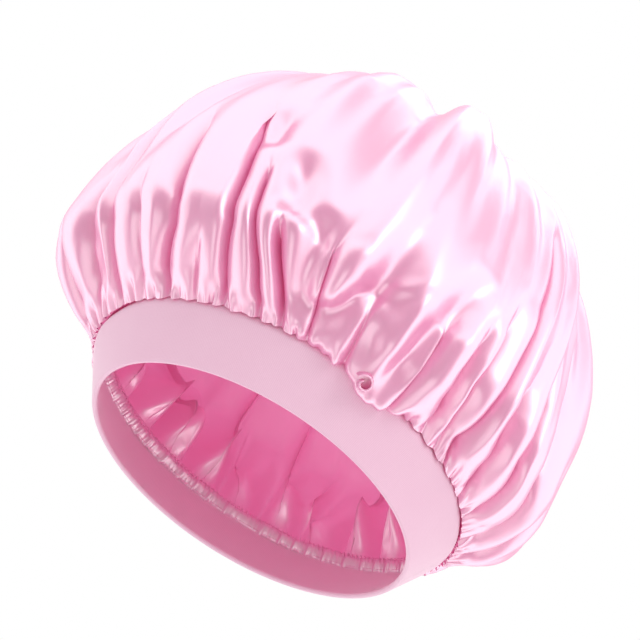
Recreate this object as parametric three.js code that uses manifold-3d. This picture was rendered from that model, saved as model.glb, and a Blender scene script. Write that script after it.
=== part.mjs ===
// A gathered satin hair bonnet on a wide elastic band, in millimetres.
// +Z runs up the band's axis into the crown, the wearer's face is towards -Y and the nape towards +Y.
// The origin is the centre of the opening, on the plane that the band's folded rim stands on.
import * as THREE from "three";
import Module from "manifold-3d";
import { mergeVertices } from "three/addons/utils/BufferGeometryUtils.js";

// Band: a knit strip folded lengthwise round a flat elastic, wider at the seam than at the rim.
// Its two raw edges run on past the seam and stand up inside the crown.
const rimRadius = 94; // outside of the band at its folded rim
const bandWidth = 30; // along the slope, from rim to seam
const bandFlare = 15; // how much further out the seam lies than the rim
const knitThickness = 0.7;
const elasticThickness = 1;
const clearance = 0.3; // between layers, and between threads and cloth
const rimFlatDepth = 0.5; // how much of the round fold is pressed flat where it stands
const elasticEdgeGap = 1.4; // from the elastic's lower edge to the inside of the fold
const elasticTopGap = 1; // from the elastic's upper edge to the top of the cover
const elasticJoinGap = 3; // between the elastic's butted ends, at the nape

// Crown: a flat disc of satin, gathered into the seam and puffed out.
const satinWall = 1; // the cloth and the air that its fine creases hold
const crownRadius = 149; // at the widest place, as the cloth would lie with no folds
const widestHeight = 75;
const crownHeight = 239;
const shoulderFullness = 2.07; // 2 is a plain ellipse above the widest place, and more is fuller
const underBulgeRadius = 149; // where the underside would turn if it had a corner
const underBulgeHeight = 44;
const crownForward = 7; // how far forward of the band the widest place sits
const crownLean = 4; // how much further forward the top sits
const allowanceHeight = 7; // the seam allowance of all layers, up inside the crown
const allowanceLean = 2.4; // inwards, from seam to raw edge

// Main folds, counted round the seam from the nape by the wearer's left, and how deep they are at their
// deepest. Each ridge lies half way between two creases, and stands out of the cloth by its share.
const foldCount = 32;
const foldDepth = 13;
const foldRidgeShare = 0.3;
const foldDepthAtSeam = 1;
const foldPeakShare = 0.12; // of the way up the cloth, where the folds are deepest
const foldSettleShare = 0.3; // of the way up the cloth, where they have come to their upper places
// Where each crease starts at the seam, as a share of the way round.
const creasePlaceShares = [
  0.003, 0.032, 0.064, 0.09, 0.128, 0.145, 0.163, 0.2, 0.236, 0.267, 0.29,
  0.308, 0.336, 0.361, 0.385, 0.414, 0.444, 0.479, 0.509, 0.539, 0.574, 0.611,
  0.645, 0.682, 0.717, 0.753, 0.788, 0.825, 0.86, 0.897, 0.932, 0.968,
];
// Where it has come to higher up.
const creaseUpperPlaceShares = [
  0.044, 0.086, 0.112, 0.128, 0.147, 0.163, 0.178, 0.202, 0.236, 0.267, 0.297,
  0.334, 0.37, 0.386, 0.4, 0.416, 0.436, 0.455, 0.475, 0.498, 0.54, 0.585,
  0.628, 0.672, 0.712, 0.752, 0.79, 0.83, 0.87, 0.912, 0.955, 1,
];
// How far up the cloth it reaches.
const foldReachShares = [
  0.32, 0.46, 0.4, 0.28, 0.6, 0.34, 0.26, 0.24, 0.24, 0.26, 0.24,
  0.42, 0.54, 0.2, 0.42, 0.34, 0.46, 0.28, 0.24, 0.34, 0.4, 0.32,
  0.46, 0.3, 0.5, 0.36, 0.42, 0.3, 0.48, 0.34, 0.44, 0.36,
];
// How deep it is.
const foldStrengthShares = [
  0.79, 0.84, 0.84, 0.74, 1, 0.58, 0.68, 0.37, 0.32, 0.42, 0.9,
  0.74, 0.9, 0.3, 0.95, 0.53, 0.84, 0.63, 0.35, 0.68, 0.8, 0.65,
  0.9, 0.7, 0.85, 0.75, 0.9, 0.7, 0.8, 0.65, 0.85, 0.7,
];

// Threads.
const threadRadius = 0.3;
const seamStitches = 84; // round the seam, one zigzag each
const seamStitchHeight = 1.2;
const seamThreadRise = 1.6; // above the foot of the allowance, on the knit's side
const gatherStitches = 60;
const gatherStitchHeight = 0.5;
const gatherThreadRise = 3.6; // on the satin's side
const overlockTurns = 90; // round the allowance's raw edge
const overlockDepth = 1.9; // how far each turn reaches down from the raw edge
const joinStitches = 9; // up the band's join, at the nape
const joinStitchWidth = 3;
const elasticJoinStitches = 8;

// How finely the round pieces are faceted: every ring has a corner at each ridge and each crease.
const spokes = 2 * foldCount;
const foldArcSteps = 6;
const cutOverrun = 5;
const nape = Math.PI / 2; // azimuth of +Y

const bandThickness = 2 * knitThickness + 2 * clearance + elasticThickness;
const foldRadius = bandThickness / 2;
const slopeSine = bandFlare / bandWidth;
const slopeCosine = Math.sqrt(1 - slopeSine ** 2);
const slopeAngle = Math.asin(slopeSine);
const foldHeight = foldRadius - rimFlatDepth;

// A point of the band's section: along the slope from the fold's centre, and inwards from the outer face.
function bandPoint(along, inward) {
  return new THREE.Vector2(
    rimRadius + along * slopeSine - inward * slopeCosine,
    foldHeight - foldRadius * slopeSine + along * slopeCosine + inward * slopeSine,
  );
}

// A half circle round the fold's centre, from the outer face to the inner one, below the slope.
function foldArc(radius) {
  const centre = bandPoint(0, foldRadius);
  const points = [];
  for (let i = 0; i <= foldArcSteps; i++) {
    const angle = -slopeAngle - (Math.PI * i) / foldArcSteps;
    points.push(
      new THREE.Vector2(
        centre.x + radius * Math.cos(angle),
        centre.y + radius * Math.sin(angle),
      ),
    );
  }
  return points;
}

// The same points with whatever reaches below the standing plane cut off level with it.
function cutFlat(points) {
  const kept = [];
  points.forEach((point, i) => {
    const before = points[i - 1];
    if (before && before.y * point.y < 0) {
      const share = before.y / (before.y - point.y);
      kept.push(new THREE.Vector2(before.x + share * (point.x - before.x), 0));
    }
    if (point.y >= 0) kept.push(point);
  });
  return kept;
}

// Turns a closed section, given as (radius, height) points, into a ring about Z.
function ringOf(section) {
  const closed = [...section, section[0]];
  const area = closed.reduce(
    (sum, p, i) => (i ? sum + closed[i - 1].x * p.y - p.x * closed[i - 1].y : sum),
    0,
  );
  const profile = area > 0 ? closed : closed.reverse();
  return new THREE.LatheGeometry(profile, spokes).rotateX(Math.PI / 2);
}

// A point of the seam allowance's section: up from the seam, and outwards from its inner face.
const allowanceAngle = Math.asin(allowanceLean / allowanceHeight);
const allowanceFoot = bandPoint(bandWidth, bandThickness);
function allowancePoint(rise, outward) {
  return new THREE.Vector2(
    allowanceFoot.x - rise * Math.sin(allowanceAngle) + outward * Math.cos(allowanceAngle),
    allowanceFoot.y + rise * Math.cos(allowanceAngle) + outward * Math.sin(allowanceAngle),
  );
}

const knitPair = 2 * knitThickness + clearance; // the cover's two edges, side by side
const allowanceThickness = knitPair + clearance + satinWall;

function bandCoverGeometry() {
  const section = [
    allowancePoint(allowanceHeight, knitPair),
    allowancePoint(0, knitPair),
    bandPoint(bandWidth, 0),
    ...cutFlat(foldArc(foldRadius)),
    allowancePoint(0, 0),
    allowancePoint(allowanceHeight, 0),
    allowancePoint(allowanceHeight, knitThickness),
    allowancePoint(0, knitThickness),
    bandPoint(bandWidth - elasticTopGap / 2, bandThickness - knitThickness),
    ...foldArc(foldRadius - knitThickness).reverse(),
    bandPoint(bandWidth - elasticTopGap / 2, knitThickness),
    allowancePoint(0, knitPair - knitThickness),
    allowancePoint(allowanceHeight, knitPair - knitThickness),
  ];
  return ringOf(section);
}

const wasm = await Module();
wasm.setup();

function solidFrom(geometry) {
  const bare = geometry.clone();
  bare.deleteAttribute("normal");
  bare.deleteAttribute("uv");
  const merged = mergeVertices(bare, clearance / 100);
  return new wasm.Manifold(
    new wasm.Mesh({
      numProp: 3,
      vertProperties: new Float32Array(merged.attributes.position.array),
      triVerts: new Uint32Array(merged.index.array),
    }),
  );
}

function geometryFrom(solid) {
  const mesh = solid.getMesh();
  return new THREE.BufferGeometry()
    .setAttribute("position", new THREE.BufferAttribute(mesh.vertProperties, 3))
    .setIndex(new THREE.BufferAttribute(mesh.triVerts, 1));
}

const elasticLow = elasticEdgeGap;
const elasticHigh = bandWidth - elasticTopGap;
const elasticOuter = knitThickness + clearance;
const elasticInner = elasticOuter + elasticThickness;

// The elastic is a ring with its ends butted at the nape, a few millimetres apart.
function elasticGeometry() {
  const ring = ringOf([
    bandPoint(elasticLow, elasticOuter),
    bandPoint(elasticHigh, elasticOuter),
    bandPoint(elasticHigh, elasticInner),
    bandPoint(elasticLow, elasticInner),
  ]);
  const outside = rimRadius + bandFlare + cutOverrun;
  const notch = new THREE.BoxGeometry(elasticJoinGap, outside, bandWidth + cutOverrun);
  notch.translate(0, outside / 2, bandWidth / 2);
  return geometryFrom(solidFrom(ring).subtract(solidFrom(notch)));
}

// A thread of square section along a line of points, as one closed body.
// outward(point) is the direction that the thread's face looks in.
function threadGeometry(points, isLoop, outward) {
  const positions = [];
  const index = [];
  const count = points.length;
  const sides = 4;
  points.forEach((point, i) => {
    const before = points[isLoop ? (i + count - 1) % count : Math.max(i - 1, 0)];
    const after = points[isLoop ? (i + 1) % count : Math.min(i + 1, count - 1)];
    const along = after.clone().sub(before).normalize();
    const across = outward(point).cross(along).normalize();
    const out = along.clone().cross(across).normalize();
    for (let side = 0; side < sides; side++) {
      const angle = (2 * Math.PI * side) / sides;
      const corner = point
        .clone()
        .addScaledVector(across, threadRadius * Math.cos(angle))
        .addScaledVector(out, threadRadius * Math.sin(angle));
      positions.push(corner.x, corner.y, corner.z);
    }
  });
  const spans = isLoop ? count : count - 1;
  for (let i = 0; i < spans; i++) {
    const here = i * sides;
    const next = ((i + 1) % count) * sides;
    for (let side = 0; side < sides; side++) {
      const turn = (side + 1) % sides;
      index.push(here + side, here + turn, next + turn);
      index.push(here + side, next + turn, next + side);
    }
  }
  if (!isLoop) {
    const last = (count - 1) * sides;
    index.push(0, 2, 1, 0, 3, 2);
    index.push(last, last + 1, last + 2, last, last + 2, last + 3);
  }
  return new THREE.BufferGeometry()
    .setAttribute("position", new THREE.Float32BufferAttribute(positions, 3))
    .setIndex(index);
}

function roundPoint(radius, azimuth, height) {
  return new THREE.Vector3(
    radius * Math.cos(azimuth),
    radius * Math.sin(azimuth),
    height,
  );
}

function radial(point) {
  return new THREE.Vector3(point.x, point.y, 0).normalize();
}

// The satin's hairpin turn at the seam: down the crown, round against the band, up the allowance.
const seamTurn = bandPoint(bandWidth + 2 * clearance, 0);
const seamOuter = bandPoint(bandWidth + satinWall, -satinWall);
const satinEdgeInner = knitPair + clearance;
const creaseInside = allowancePoint(satinWall, allowanceThickness + clearance);

// The crown's cloth with no folds, from seam (0) to top (1): a curved underside and a full quarter ellipse.
const underShare = 0.21; // of the cloth, below the widest place
function profilePoint(share, inset) {
  const radius = crownRadius - inset;
  if (share < underShare) {
    const t = share / underShare;
    const start = inset ? creaseInside : seamOuter;
    return new THREE.Vector2(
      (1 - t) ** 2 * start.x + 2 * t * (1 - t) * (underBulgeRadius - inset) + t * t * radius,
      (1 - t) ** 2 * start.y + 2 * t * (1 - t) * (underBulgeHeight + inset) + t * t * widestHeight,
    );
  }
  const angle = ((share - underShare) / (1 - underShare)) * (Math.PI / 2);
  const power = 2 / shoulderFullness;
  return new THREE.Vector2(
    radius * Math.max(Math.cos(angle), 0) ** power,
    widestHeight + (crownHeight - widestHeight - inset) * Math.sin(angle) ** power,
  );
}

// Outward direction of the profile there, in the section plane.
const slopeStepShare = 0.01;
function profileNormal(share) {
  const a = profilePoint(Math.max(share - slopeStepShare, 0), 0);
  const b = profilePoint(Math.min(share + slopeStepShare, 1), 0);
  const along = b.sub(a).normalize();
  return new THREE.Vector2(along.y, -along.x);
}

// How deep a crease is at a share of the way up.
function creaseDepth(crease, share) {
  const rise = THREE.MathUtils.smoothstep(share, 0, foldPeakShare);
  const fade = 1 - THREE.MathUtils.smoothstep(share, foldPeakShare, foldReachShares[crease]);
  return foldDepthAtSeam * (1 - rise) + foldDepth * foldStrengthShares[crease] * rise * fade;
}

// Where a crease lies at a share of the way up, as a share of the way round. Creases are numbered on
// past the last and before the first, a whole turn further.
function creasePlace(crease, share) {
  const turns = Math.floor(crease / foldCount);
  const own = crease - turns * foldCount;
  const settled = THREE.MathUtils.smoothstep(share, 0, foldSettleShare);
  return turns + THREE.MathUtils.lerp(creasePlaceShares[own], creaseUpperPlaceShares[own], settled);
}

// The crown leans forward: its middle moves towards the face with height.
function forwardAt(height) {
  const low = THREE.MathUtils.smoothstep(height, allowanceFoot.y, widestHeight);
  const high = THREE.MathUtils.clamp(
    (height - widestHeight) / (crownHeight - widestHeight),
    0,
    1,
  );
  return crownForward * low + crownLean * high;
}

// Even spokes are ridges and odd ones are creases. Spoke 0 is the ridge between the last crease and the first.
function spokeAzimuth(spoke, share) {
  const crease = Math.floor(spoke / 2);
  const isRidge = spoke % 2 === 0;
  const place = isRidge
    ? (creasePlace(crease - 1, share) + creasePlace(crease, share)) / 2
    : creasePlace(crease, share);
  return nape - 2 * Math.PI * place;
}

// A vertex of the crown, before the mesh is joined.
function crownVertex(spoke, share, inset) {
  const crease = Math.floor(spoke / 2);
  const isRidge = spoke % 2 === 0;
  const depth = creaseDepth(crease, share);
  const before = creaseDepth((crease + foldCount - 1) % foldCount, share);
  const wave = isRidge ? (foldRidgeShare * (before + depth)) / 2 : (foldRidgeShare - 1) * depth;
  const point = profilePoint(share, inset).addScaledVector(profileNormal(share), wave);
  const vertex = roundPoint(point.x, spokeAzimuth(spoke, share), point.y);
  vertex.y -= forwardAt(point.y);
  return vertex;
}

function plainVertex(spoke, corner) {
  return roundPoint(corner.x, spokeAzimuth(spoke, 0), corner.y);
}

// Shares of the way up at which the folded part has a ring, and then the smooth part.
const foldedShares = [0, 0.055, 0.12, 0.21, 0.32, 0.46];
const smoothShares = [0.62, 0.77, 0.9];

function crownGeometry() {
  const positions = [];
  const index = [];
  const addRing = (count, vertexOf) => {
    const first = positions.length / 3;
    for (let i = 0; i < count; i++) {
      const v = vertexOf(i);
      positions.push(v.x, v.y, v.z);
    }
    return { first, count };
  };
  // Joins each ring to the next. A ring may have half as many vertices as its neighbour, or twice as many.
  // Both walls are joined from the seam up, so that their facets split along the same diagonals and never
  // cross, and the outer wall's facets are then turned over.
  const joinRings = (rings, turnedOver) => {
    for (let r = 1; r < rings.length; r++) {
      const [a, b] = [rings[r - 1], rings[r]];
      const steps = Math.max(a.count, b.count);
      const at = (ring, k) => ring.first + (Math.floor((k * ring.count) / steps) % ring.count);
      for (let i = 0; i < steps; i++) {
        const [a0, a1, b0, b1] = [at(a, i), at(a, i + 1), at(b, i), at(b, i + 1)];
        if (a0 !== a1) index.push(...(turnedOver ? [b0, a1, a0] : [a0, a1, b0]));
        if (b0 !== b1) index.push(...(turnedOver ? [b0, b1, a1] : [a1, b1, b0]));
      }
    }
  };
  const wallRings = (inset) => [
    ...foldedShares.map((share) => addRing(spokes, (i) => crownVertex(i, share, inset))),
    ...smoothShares.map((share) => addRing(foldCount, (i) => crownVertex(2 * i, share, inset))),
    addRing(1, () => crownVertex(0, 1, inset)),
  ];
  const outer = wallRings(0);
  const turnAndAllowance = [
    seamTurn,
    allowancePoint(0, satinEdgeInner),
    allowancePoint(allowanceHeight, satinEdgeInner),
    allowancePoint(allowanceHeight, allowanceThickness),
  ].map((corner) => addRing(spokes, (i) => plainVertex(i, corner)));
  const inner = wallRings(satinWall);
  joinRings(outer, true);
  joinRings([outer[0], ...turnAndAllowance, inner[0]], false);
  joinRings(inner, false);
  return new THREE.BufferGeometry()
    .setAttribute("position", new THREE.Float32BufferAttribute(positions, 3))
    .setIndex(index);
}

// How far a thread's middle lies off the cloth that it is sewn to.
const threadOff = clearance + threadRadius;

// A zigzag line of stitches round a face of the allowance, at an outward distance from its inner face.
// The rings have flat sides, so a thread inside them lies at the radius of the middle of a side.
function stitchRing(stitches, rise, height, outward) {
  const flatShare = outward < 0 ? Math.cos(Math.PI / spokes) : 1;
  const points = [];
  for (let i = 0; i < 2 * stitches; i++) {
    const corner = allowancePoint(rise + (i % 2 ? height / 2 : -height / 2), outward);
    points.push(roundPoint(corner.x * flatShare, (Math.PI * i) / stitches, corner.y));
  }
  return threadGeometry(points, true, radial);
}

// The overlock goes over and over the raw edges: up the inner face, over, down the outer face and back.
function overlockGeometry() {
  const points = [];
  const low = allowanceHeight - overlockDepth;
  const high = allowanceHeight + threadOff;
  const innerLow = allowancePoint(low, -threadOff);
  const innerHigh = allowancePoint(high, -threadOff);
  const outerHigh = allowancePoint(high, allowanceThickness + threadOff);
  const outerLow = allowancePoint(low, allowanceThickness + threadOff);
  const turn = [innerLow, innerHigh, outerHigh, outerLow, outerHigh, innerHigh];
  const corners = overlockTurns * turn.length;
  for (let i = 0; i < corners; i++) {
    const corner = turn[i % turn.length];
    points.push(roundPoint(corner.x, (2 * Math.PI * i) / corners, corner.y));
  }
  return threadGeometry(points, true, radial);
}

// A zigzag up the band's slope at the nape, a little inside a face of the section.
function napeStitches(stitches, halfWidth, from, to, inward) {
  const points = [];
  for (let i = 0; i <= stitches; i++) {
    const p = bandPoint(from + ((to - from) * i) / stitches, inward);
    const side = (i % 2 ? 1 : -1) * halfWidth;
    points.push(new THREE.Vector3(side, p.x, p.y));
  }
  return threadGeometry(points, false, () => new THREE.Vector3(0, slopeCosine, -slopeSine));
}

function material(colour, roughness) {
  return new THREE.MeshStandardMaterial({ color: colour, roughness, metalness: 0 });
}

const satin = material("#f6b3d2", 0.25);
const knit = material("#f4c6dc", 0.85);
const elastic = material("#f3d9e4", 0.8);
const thread = material("#f0a3c6", 0.6);

const bonnet = new THREE.Group();
function add(name, geometry, finish) {
  const mesh = new THREE.Mesh(geometry, finish);
  mesh.name = name;
  bonnet.add(mesh);
}

add("crown_cloth", crownGeometry(), satin);
add("band_cover", bandCoverGeometry(), knit);
add("band_elastic", elasticGeometry(), elastic);
add(
  "crown_seam_thread",
  stitchRing(seamStitches, seamThreadRise, seamStitchHeight, -threadOff),
  thread,
);
add(
  "gathering_thread",
  stitchRing(
    gatherStitches,
    gatherThreadRise,
    gatherStitchHeight,
    allowanceThickness + threadOff,
  ),
  thread,
);
add("overlock_thread", overlockGeometry(), thread);
add(
  "band_join_thread",
  napeStitches(
    joinStitches,
    joinStitchWidth / 2,
    foldRadius,
    bandWidth - elasticTopGap,
    bandThickness + threadOff,
  ),
  thread,
);
add(
  "elastic_join_thread",
  napeStitches(
    elasticJoinStitches,
    elasticJoinGap / 2 - threadOff,
    elasticLow + threadRadius,
    elasticHigh - threadRadius,
    (elasticOuter + elasticInner) / 2,
  ),
  thread,
);

export default bonnet;
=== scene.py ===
"""A satin sleep bonnet on a wide elastic band, dressed over its own measured frame, in metres."""

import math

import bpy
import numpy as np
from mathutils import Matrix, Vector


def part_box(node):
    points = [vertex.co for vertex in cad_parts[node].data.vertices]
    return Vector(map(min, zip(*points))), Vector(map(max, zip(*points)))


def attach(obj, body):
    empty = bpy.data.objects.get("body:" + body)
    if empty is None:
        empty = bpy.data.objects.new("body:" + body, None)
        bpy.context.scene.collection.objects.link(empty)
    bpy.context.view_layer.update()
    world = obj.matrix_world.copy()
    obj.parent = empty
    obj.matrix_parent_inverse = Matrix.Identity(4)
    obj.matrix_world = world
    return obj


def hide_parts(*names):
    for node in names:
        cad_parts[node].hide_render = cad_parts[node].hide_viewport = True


bl_info = {
    "name": "Satin bonnet",
    "version": (1, 0, 0),
    "blender": (4, 5, 0),
    "location": "3D View > Sidebar > Bonnet",
    "description": "Gathers, sews and lights a satin bonnet on a wide knit band",
    "category": "Object",
}

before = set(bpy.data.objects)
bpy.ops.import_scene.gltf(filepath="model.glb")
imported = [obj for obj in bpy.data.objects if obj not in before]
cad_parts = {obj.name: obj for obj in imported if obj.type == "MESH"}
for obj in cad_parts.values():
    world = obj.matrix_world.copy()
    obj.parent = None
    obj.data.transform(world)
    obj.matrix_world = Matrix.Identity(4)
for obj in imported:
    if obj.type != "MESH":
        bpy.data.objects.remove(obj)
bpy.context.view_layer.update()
MM = 0.001
CROWN_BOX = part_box("crown_cloth")
COVER_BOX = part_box("band_cover")


def length_setting(name, description, default):
    return bpy.props.FloatProperty(name=name, description=description, default=default, unit="LENGTH")


def number_setting(name, description, default):
    return bpy.props.FloatProperty(name=name, description=description, default=default)


def count_setting(name, description, default):
    return bpy.props.IntProperty(name=name, description=description, default=default)


def colour_setting(name, description, default):
    return bpy.props.FloatVectorProperty(name=name, description=description, default=default, subtype="COLOR")


class BonnetSizes(bpy.types.PropertyGroup):
    """Sizes of the bonnet's pieces."""

    crown_radius: length_setting("Crown radius", "Out to the ridges of the folds, at the widest place", 0.149)
    crown_height: length_setting("Crown height", "Top of the crown above the rim", CROWN_BOX[1][2])
    widest_height: length_setting("Widest height", "Height of the crown's widest place", 0.062)
    shoulder: number_setting("Shoulder fullness", "2 is a plain ellipse, and more is fuller", 2.06)
    crown_forward: length_setting("Crown forward", "How far forward the widest place sits", 0.007)
    crown_lean: length_setting("Crown lean", "How much further forward the top sits", 0.005)
    rim_radius: length_setting("Rim radius", "Outside of the band at its folded rim", 0.094)
    band_width: length_setting("Band width", "Along its slope, from rim to seam", 0.030)
    band_flare: length_setting("Band flare", "How much further out the seam lies than the rim", 0.015)
    knit: length_setting("Knit thickness", "Thickness of the band's knit cover", 0.0007)
    elastic: length_setting("Elastic thickness", "Thickness of the elastic inside the band", 0.001)
    layer_gap: length_setting("Layer gap", "Air between two layers of cloth", 0.0003)
    allowance: length_setting("Seam allowance", "How far the raw edges stand up inside the crown", 0.007)
    disc: length_setting("Disc", "Width of the flat satin disc that the crown is gathered from", 0.62)
    thread: length_setting("Thread radius", "Radius of the sewing thread", 0.0002)


class BonnetCloth(bpy.types.PropertyGroup):
    """How the crown's satin is gathered and let go."""

    around: count_setting("Steps around", "Steps of the cloth round the seam", 448)
    frames: count_setting("Frames", "How long the cloth is let go", 20)
    spare: number_setting("Spare length", "Share by which the cloth is longer than its space", 0.03)
    pressure: number_setting("Pressure", "How hard the crown is puffed out", 0.45)
    stiffness: number_setting("Bending stiffness", "How round the creases stay", 0.03)
    settled: number_setting("Settled", "How far the cloth goes from its folded to its settled form", 0.35)
    gather: length_setting("Gather width", "Width of the small gathers at the seam", 0.008)


class BonnetColours(bpy.types.PropertyGroup):
    """Colours of the bonnet and its floor."""

    satin: colour_setting("Satin", "The satin as light falls on it", (0.95, 0.41, 0.66))
    satin_shade: colour_setting("Satin shade", "The satin where it drifts deeper", (0.90, 0.36, 0.61))
    satin_glow: colour_setting("Satin glow", "Light that comes through the satin", (0.95, 0.28, 0.55))
    knit: colour_setting("Knit", "The band's cover", (0.92, 0.62, 0.75))
    # knit_shade also serves as painted shade in the grooves of the knit and of the elastic.
    knit_shade: colour_setting("Knit shade", "The band's cover between its ribs", (0.80, 0.44, 0.60))
    elastic: colour_setting("Elastic", "The woven elastic in the band", (0.88, 0.72, 0.80))
    thread: colour_setting("Thread", "The sewing thread", (0.88, 0.40, 0.60))
    floor: colour_setting("Floor", "The floor that the bonnet stands on", (0.86, 0.84, 0.85))


def sizes():
    return bpy.context.scene.bonnet_sizes


def cloth_settings():
    return bpy.context.scene.bonnet_cloth


def colours():
    return bpy.context.scene.bonnet_colours


# Shader maths


class Value:
    """A shader socket that can be used in Python sums."""

    def __init__(self, shader, socket):
        self.shader, self.socket = shader, socket

    def sum(self, operation, first, second=0.0):
        return self.shader.add("ShaderNodeMath", {"operation": operation}, {0: first, 1: second})[0]

    def __add__(self, other):
        return self.sum("ADD", self, other)

    def __radd__(self, other):
        return self.sum("ADD", other, self)

    def __sub__(self, other):
        return self.sum("SUBTRACT", self, other)

    def __rsub__(self, other):
        return self.sum("SUBTRACT", other, self)

    def __mul__(self, other):
        return self.sum("MULTIPLY", self, other)

    def __rmul__(self, other):
        return self.sum("MULTIPLY", other, self)

    def ridges(self, step):
        """From 0 to 1 and back in every step."""
        return self.sum("SINE", self * (2 * math.pi / step)) * 0.5 + 0.5


class Shader:
    """A material or world whose nodes are added one call at a time."""

    def __init__(self, tree):
        self.tree = tree
        tree.nodes.clear()

    def add(self, kind, settings=None, inputs=None):
        node = self.tree.nodes.new(kind)
        for name, value in (settings or {}).items():
            setattr(node, name, value)
        for key, value in (inputs or {}).items():
            socket = node.inputs[key]
            if isinstance(value, Value):
                self.tree.links.new(value.socket, socket)
            elif socket.type == "RGBA" and len(value) == 3:
                socket.default_value = (*value, 1)
            else:
                socket.default_value = value
        return [Value(self, s) for s in node.outputs]

    def colour_mix(self, factor, first, second):
        settings = {"data_type": "RGBA"}
        return self.add("ShaderNodeMix", settings, {0: factor, 6: first, 7: second})[2]

    def surface_mix(self, factor, first, second):
        return self.add("ShaderNodeMixShader", {}, {0: factor, 1: first, 2: second})[0]

    def noise(self, vector, scale, detail=2.0, roughness=0.5):
        inputs = {"Vector": vector, "Scale": scale, "Detail": detail, "Roughness": roughness}
        return self.add("ShaderNodeTexNoise", {}, inputs)[0]

    def scaled(self, vector, scale):
        return self.add("ShaderNodeMapping", {}, {"Vector": vector, "Scale": scale})[0]

    def flat_cut(self, scale):
        """Places on the cloth as it was cut, from the piece's own UV map."""
        return self.scaled(self.add("ShaderNodeUVMap", {"uv_map": "flat_cut"})[0], (scale, scale, 1))

    def on_piece(self):
        return self.add("ShaderNodeTexCoord")[3]

    def bump(self, height, strength, distance):
        inputs = {"Height": height, "Strength": strength, "Distance": distance}
        return self.add("ShaderNodeBump", {}, inputs)[0]

    def principled(self, **inputs):
        named = {name.replace("_", " "): value for name, value in inputs.items()}
        return self.add("ShaderNodeBsdfPrincipled", {}, named)[0]


def new_material(name, surface):
    """A material with the surface that a function makes of its nodes."""
    made = bpy.data.materials.new(name)
    made.use_nodes = True
    shader = Shader(made.node_tree)
    shader.add("ShaderNodeOutputMaterial", {}, {"Surface": surface(shader)})
    return made


SATIN_FLOATS = (1.4, 0.2, 1)  # per millimetre, across them and along them
SATIN_ROUGHNESS, ROUGHNESS_CHANGE = 0.3, 0.02
SATIN_GLOW_SHARE = 0.2
KNIT_RIB_STEP, KNIT_ROW_STEP = 0.9, 0.7  # in millimetres
ELASTIC_CORD_STEP = 1.6 * MM
BRAID_SCALE, PLY_SCALE = 900.0, 2600.0  # per metre


def satin_surface(shader):
    """Glossy, slightly see-through satin. Its floats run one way across the flat disc that was cut."""
    flat = shader.flat_cut(sizes().disc / MM)
    floats = shader.noise(shader.scaled(flat, SATIN_FLOATS), 1.0)
    weave = shader.noise(flat, 1.6, detail=1.0)
    drift = shader.noise(flat, 0.02, detail=3.0)
    cloth = shader.principled(
        Base_Color=shader.colour_mix(drift, colours().satin_shade, colours().satin),
        Roughness=SATIN_ROUGHNESS + drift * ROUGHNESS_CHANGE + floats * ROUGHNESS_CHANGE,
        IOR=2.3,
        Specular_IOR_Level=1.0,
        Normal=shader.bump(floats * 0.8 + weave * 0.2, 0.03, 0.2 * MM),
    )
    glow = shader.add("ShaderNodeBsdfTranslucent", {}, {"Color": colours().satin_glow})[0]
    return shader.surface_mix(SATIN_GLOW_SHARE, cloth, glow)


def knit_surface(shader):
    """Fine, matte knit, with its ribs up the band and a row for every loop, and painted shade darker in the
    grooves between them.
    """
    flat = shader.flat_cut(1 / MM)
    across, along = shader.add("ShaderNodeSeparateXYZ", {}, {0: flat})[:2]
    grain = shader.noise(flat, 1.1, detail=3.0, roughness=0.6)
    patches = shader.noise(flat, 0.05)
    loops = across.ridges(KNIT_RIB_STEP) * 0.5 + along.ridges(KNIT_ROW_STEP) * 0.2 + grain * 0.5
    # Painted shade: where the ribs and rows dip, the colour is mixed towards knit_shade. The grain and
    # patches add the knit's own uneven tone.
    tone_and_groove_shade = loops * 0.65 + patches * 0.2 + 0.1
    return shader.principled(
        Base_Color=shader.colour_mix(tone_and_groove_shade, colours().knit_shade, colours().knit),
        Roughness=0.78 + grain * 0.12,
        Specular_IOR_Level=0.25,
        Sheen_Weight=0.35,
        Sheen_Roughness=0.5,
        Normal=shader.bump(loops, 0.35, 0.2 * MM),
    )


def elastic_surface(shader):
    """Woven elastic: covered rubber cords side by side along the band, with painted shade darker in the
    grooves between them.
    """
    place = shader.on_piece()
    height = shader.add("ShaderNodeSeparateXYZ", {}, {0: place})[2]
    cords = height.ridges(ELASTIC_CORD_STEP)
    braid = shader.noise(place, BRAID_SCALE)
    # Painted shade: the grooves between the cords mix towards knit_shade. The braid noise adds the elastic's
    # own uneven tone.
    tone_and_groove_shade = cords * 0.6 + braid * 0.4
    return shader.principled(
        Base_Color=shader.colour_mix(tone_and_groove_shade, colours().knit_shade, colours().elastic),
        Roughness=0.7 + braid * 0.15,
        Normal=shader.bump(cords * 0.8 + braid * 0.3, 0.4, 0.3 * MM),
    )


def thread_surface(shader):
    """Sewing thread: two plies and a soft shine."""
    plies = shader.noise(shader.on_piece(), PLY_SCALE)
    return shader.principled(
        Base_Color=shader.colour_mix(plies, colours().satin_shade, colours().thread),
        Roughness=0.42 + plies * 0.15,
        Sheen_Weight=0.3,
        Normal=shader.bump(plies, 0.3, 0.1 * MM),
    )


MATERIALS = {
    "satin": ("pink_satin", satin_surface),
    "knit": ("pink_knit", knit_surface),
    "elastic": ("woven_elastic", elastic_surface),
    "thread": ("sewing_thread", thread_surface),
}


def finish_piece(piece, slot, *nodes):
    """Gives a piece the material of its slot and its body, and hides the nodes that it stands for."""
    name, surface = MATERIALS[slot]
    piece.data.materials.clear()
    piece.data.materials.append(bpy.data.materials.get(name) or new_material(name, surface))
    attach(piece, "root")
    if nodes:
        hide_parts(*nodes)


# Modelling


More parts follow.
